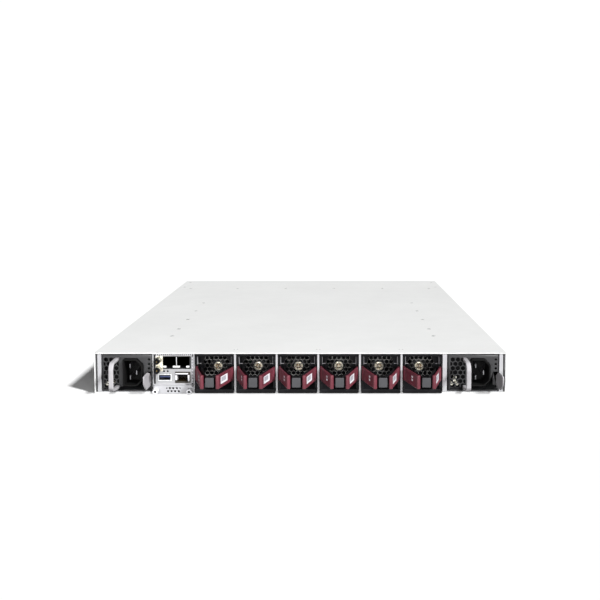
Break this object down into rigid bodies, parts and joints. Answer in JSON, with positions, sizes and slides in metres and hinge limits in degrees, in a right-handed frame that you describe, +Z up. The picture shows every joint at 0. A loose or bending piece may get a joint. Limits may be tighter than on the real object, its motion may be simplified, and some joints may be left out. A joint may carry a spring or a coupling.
{
  "type": "rackmount network switch",
  "caption": "Flat one-unit rack switch with pluggable optics in front and pull-out fan modules, power supplies and a management module at the rear.",
  "frame": {"origin": "centre of the chassis underside", "axes": "+Z up; +Y from the fan side to the port side; +X to the right for somebody who faces the fan side"},
  "size_m": [0.44, 0.596, 0.0438],
  "materials": {
    "chassis_paint": "fine-texture powder coat, near-white grey",
    "frame_steel": "pale grey powder coat on sheet steel",
    "fan_black": "moulded, faintly textured, satin",
    "lever_red": "moulded burgundy, satin",
    "grip_grey": "moulded, fine matt texture",
    "rotor_black": "moulded, satin",
    "psu_grey": "dark grey powder coat",
    "handle_grey": "light grey moulded strap, satin",
    "inlet_black": "moulded, semi-gloss",
    "plate_steel": "bright nickel plate, lightly brushed",
    "port_steel": "bright tin plate",
    "jack_black": "moulded, semi-gloss",
    "connector_gold": "gold plate",
    "screw_steel": "zinc plate",
    "board_green": "solder mask over laminate",
    "heat_sink_aluminium": "extruded, satin"
  },
  "bodies": {
    "chassis": {"chassis_tray": "chassis_paint", "top_cover": "chassis_paint", "bay_frame": "frame_steel", "port_panel": "chassis_paint", "port_cages": "port_steel", "main_board": "board_green", "heat_sink": "heat_sink_aluminium", "power_board": "board_green", "fan_board": "board_green"},
    "fan_1": {"fan_1_housing": "fan_black", "fan_1_yoke": "grip_grey"},
    "fan_1_lever_left": {"fan_1_lever_left": "lever_red"},
    "fan_1_lever_right": {"fan_1_lever_right": "lever_red"},
    "fan_1_rotor": {"fan_1_rotor": "rotor_black"},
    "fan_2": {"fan_2_housing": "fan_black", "fan_2_yoke": "grip_grey"},
    "fan_2_lever_left": {"fan_2_lever_left": "lever_red"},
    "fan_2_lever_right": {"fan_2_lever_right": "lever_red"},
    "fan_2_rotor": {"fan_2_rotor": "rotor_black"},
    "fan_3": {"fan_3_housing": "fan_black", "fan_3_yoke": "grip_grey"},
    "fan_3_lever_left": {"fan_3_lever_left": "lever_red"},
    "fan_3_lever_right": {"fan_3_lever_right": "lever_red"},
    "fan_3_rotor": {"fan_3_rotor": "rotor_black"},
    "fan_4": {"fan_4_housing": "fan_black", "fan_4_yoke": "grip_grey"},
    "fan_4_lever_left": {"fan_4_lever_left": "lever_red"},
    "fan_4_lever_right": {"fan_4_lever_right": "lever_red"},
    "fan_4_rotor": {"fan_4_rotor": "rotor_black"},
    "fan_5": {"fan_5_housing": "fan_black", "fan_5_yoke": "grip_grey"},
    "fan_5_lever_left": {"fan_5_lever_left": "lever_red"},
    "fan_5_lever_right": {"fan_5_lever_right": "lever_red"},
    "fan_5_rotor": {"fan_5_rotor": "rotor_black"},
    "fan_6": {"fan_6_housing": "fan_black", "fan_6_yoke": "grip_grey"},
    "fan_6_lever_left": {"fan_6_lever_left": "lever_red"},
    "fan_6_lever_right": {"fan_6_lever_right": "lever_red"},
    "fan_6_rotor": {"fan_6_rotor": "rotor_black"},
    "psu_left": {"psu_left_case": "psu_grey", "psu_left_board": "board_green", "psu_left_inlet": "inlet_black", "psu_left_handle": "handle_grey"},
    "psu_left_latch": {"psu_left_latch": "handle_grey"},
    "psu_left_rotor": {"psu_left_rotor": "rotor_black"},
    "psu_right": {"psu_right_case": "psu_grey", "psu_right_board": "board_green", "psu_right_inlet": "inlet_black", "psu_right_handle": "handle_grey"},
    "psu_right_latch": {"psu_right_latch": "handle_grey"},
    "psu_right_rotor": {"psu_right_rotor": "rotor_black"},
    "mgmt_module": {"mgmt_panel": "plate_steel", "mgmt_board": "board_green", "mgmt_jack_pair": "jack_black", "mgmt_shielded_jack": "port_steel", "mgmt_usb_socket": "port_steel", "mgmt_coax_upper": "connector_gold", "mgmt_coax_lower": "connector_gold"},
    "mgmt_thumbscrew_left": {"mgmt_thumbscrew_left": "screw_steel"},
    "mgmt_thumbscrew_right": {"mgmt_thumbscrew_right": "screw_steel"}
  },
  "joints": [
    {"name": "fan_1_pull_out", "type": "slide", "parent": "chassis", "child": "fan_1", "axis": [0, -1, 0], "range_m": [0, 0.11]},
    {"name": "fan_1_lever_left_pinch", "type": "hinge", "parent": "fan_1", "child": "fan_1_lever_left", "pos_m": [-0.11095, -0.2766, 0.0213], "axis": [0, 0, 1], "range_deg": [0, 1.8], "stiffness_Nm_per_rad": 0.2},
    {"name": "fan_1_lever_right_pinch", "type": "hinge", "parent": "fan_1", "child": "fan_1_lever_right", "pos_m": [-0.07245, -0.2766, 0.0213], "axis": [0, 0, -1], "range_deg": [0, 1.8], "stiffness_Nm_per_rad": 0.2},
    {"name": "fan_1_rotor_spin", "type": "hinge", "parent": "fan_1", "child": "fan_1_rotor", "pos_m": [-0.0917, -0.24, 0.0219], "axis": [0, 1, 0], "continuous": true},
    {"name": "fan_2_pull_out", "type": "slide", "parent": "chassis", "child": "fan_2", "axis": [0, -1, 0], "range_m": [0, 0.11]},
    {"name": "fan_2_lever_left_pinch", "type": "hinge", "parent": "fan_2", "child": "fan_2_lever_left", "pos_m": [-0.06655, -0.2766, 0.0213], "axis": [0, 0, 1], "range_deg": [0, 1.8], "stiffness_Nm_per_rad": 0.2},
    {"name": "fan_2_lever_right_pinch", "type": "hinge", "parent": "fan_2", "child": "fan_2_lever_right", "pos_m": [-0.02805, -0.2766, 0.0213], "axis": [0, 0, -1], "range_deg": [0, 1.8], "stiffness_Nm_per_rad": 0.2},
    {"name": "fan_2_rotor_spin", "type": "hinge", "parent": "fan_2", "child": "fan_2_rotor", "pos_m": [-0.0473, -0.24, 0.0219], "axis": [0, 1, 0], "continuous": true},
    {"name": "fan_3_pull_out", "type": "slide", "parent": "chassis", "child": "fan_3", "axis": [0, -1, 0], "range_m": [0, 0.11]},
    {"name": "fan_3_lever_left_pinch", "type": "hinge", "parent": "fan_3", "child": "fan_3_lever_left", "pos_m": [-0.02215, -0.2766, 0.0213], "axis": [0, 0, 1], "range_deg": [0, 1.8], "stiffness_Nm_per_rad": 0.2},
    {"name": "fan_3_lever_right_pinch", "type": "hinge", "parent": "fan_3", "child": "fan_3_lever_right", "pos_m": [0.01635, -0.2766, 0.0213], "axis": [0, 0, -1], "range_deg": [0, 1.8], "stiffness_Nm_per_rad": 0.2},
    {"name": "fan_3_rotor_spin", "type": "hinge", "parent": "fan_3", "child": "fan_3_rotor", "pos_m": [-0.0029, -0.24, 0.0219], "axis": [0, 1, 0], "continuous": true},
    {"name": "fan_4_pull_out", "type": "slide", "parent": "chassis", "child": "fan_4", "axis": [0, -1, 0], "range_m": [0, 0.11]},
    {"name": "fan_4_lever_left_pinch", "type": "hinge", "parent": "fan_4", "child": "fan_4_lever_left", "pos_m": [0.02225, -0.2766, 0.0213], "axis": [0, 0, 1], "range_deg": [0, 1.8], "stiffness_Nm_per_rad": 0.2},
    {"name": "fan_4_lever_right_pinch", "type": "hinge", "parent": "fan_4", "child": "fan_4_lever_right", "pos_m": [0.06075, -0.2766, 0.0213], "axis": [0, 0, -1], "range_deg": [0, 1.8], "stiffness_Nm_per_rad": 0.2},
    {"name": "fan_4_rotor_spin", "type": "hinge", "parent": "fan_4", "child": "fan_4_rotor", "pos_m": [0.0415, -0.24, 0.0219], "axis": [0, 1, 0], "continuous": true},
    {"name": "fan_5_pull_out", "type": "slide", "parent": "chassis", "child": "fan_5", "axis": [0, -1, 0], "range_m": [0, 0.11]},
    {"name": "fan_5_lever_left_pinch", "type": "hinge", "parent": "fan_5", "child": "fan_5_lever_left", "pos_m": [0.06665, -0.2766, 0.0213], "axis": [0, 0, 1], "range_deg": [0, 1.8], "stiffness_Nm_per_rad": 0.2},
    {"name": "fan_5_lever_right_pinch", "type": "hinge", "parent": "fan_5", "child": "fan_5_lever_right", "pos_m": [0.10515, -0.2766, 0.0213], "axis": [0, 0, -1], "range_deg": [0, 1.8], "stiffness_Nm_per_rad": 0.2},
    {"name": "fan_5_rotor_spin", "type": "hinge", "parent": "fan_5", "child": "fan_5_rotor", "pos_m": [0.0859, -0.24, 0.0219], "axis": [0, 1, 0], "continuous": true},
    {"name": "fan_6_pull_out", "type": "slide", "parent": "chassis", "child": "fan_6", "axis": [0, -1, 0], "range_m": [0, 0.11]},
    {"name": "fan_6_lever_left_pinch", "type": "hinge", "parent": "fan_6", "child": "fan_6_lever_left", "pos_m": [0.11105, -0.2766, 0.0213], "axis": [0, 0, 1], "range_deg": [0, 1.8], "stiffness_Nm_per_rad": 0.2},
    {"name": "fan_6_lever_right_pinch", "type": "hinge", "parent": "fan_6", "child": "fan_6_lever_right", "pos_m": [0.14955, -0.2766, 0.0213], "axis": [0, 0, -1], "range_deg": [0, 1.8], "stiffness_Nm_per_rad": 0.2},
    {"name": "fan_6_rotor_spin", "type": "hinge", "parent": "fan_6", "child": "fan_6_rotor", "pos_m": [0.1303, -0.24, 0.0219], "axis": [0, 1, 0], "continuous": true},
    {"name": "psu_left_pull_out", "type": "slide", "parent": "chassis", "child": "psu_left", "axis": [0, -1, 0], "range_m": [0, 0.33]},
    {"name": "psu_left_latch_press", "type": "hinge", "parent": "psu_left", "child": "psu_left_latch", "pos_m": [-0.1601, -0.237, 0.0155], "axis": [0, 0, -1], "range_deg": [0, 2], "stiffness_Nm_per_rad": 0.3},
    {"name": "psu_left_rotor_spin", "type": "hinge", "parent": "psu_left", "child": "psu_left_rotor", "pos_m": [-0.185, 0.023, 0.0245], "axis": [0, 1, 0], "continuous": true},
    {"name": "psu_right_pull_out", "type": "slide", "parent": "chassis", "child": "psu_right", "axis": [0, -1, 0], "range_m": [0, 0.33]},
    {"name": "psu_right_latch_press", "type": "hinge", "parent": "psu_right", "child": "psu_right_latch", "pos_m": [0.2098, -0.237, 0.0155], "axis": [0, 0, -1], "range_deg": [0, 2], "stiffness_Nm_per_rad": 0.3},
    {"name": "psu_right_rotor_spin", "type": "hinge", "parent": "psu_right", "child": "psu_right_rotor", "pos_m": [0.1849, 0.023, 0.0245], "axis": [0, 1, 0], "continuous": true},
    {"name": "mgmt_module_pull_out", "type": "slide", "parent": "chassis", "child": "mgmt_module", "axis": [0, -1, 0], "range_m": [0, 0.125]},
    {"name": "mgmt_thumbscrew_left_turn", "type": "hinge", "parent": "mgmt_module", "child": "mgmt_thumbscrew_left", "pos_m": [-0.1533, -0.283, 0.0039], "axis": [0, 1, 0], "continuous": true},
    {"name": "mgmt_thumbscrew_right_turn", "type": "hinge", "parent": "mgmt_module", "child": "mgmt_thumbscrew_right", "pos_m": [-0.1174, -0.283, 0.0039], "axis": [0, 1, 0], "continuous": true}
  ]
}
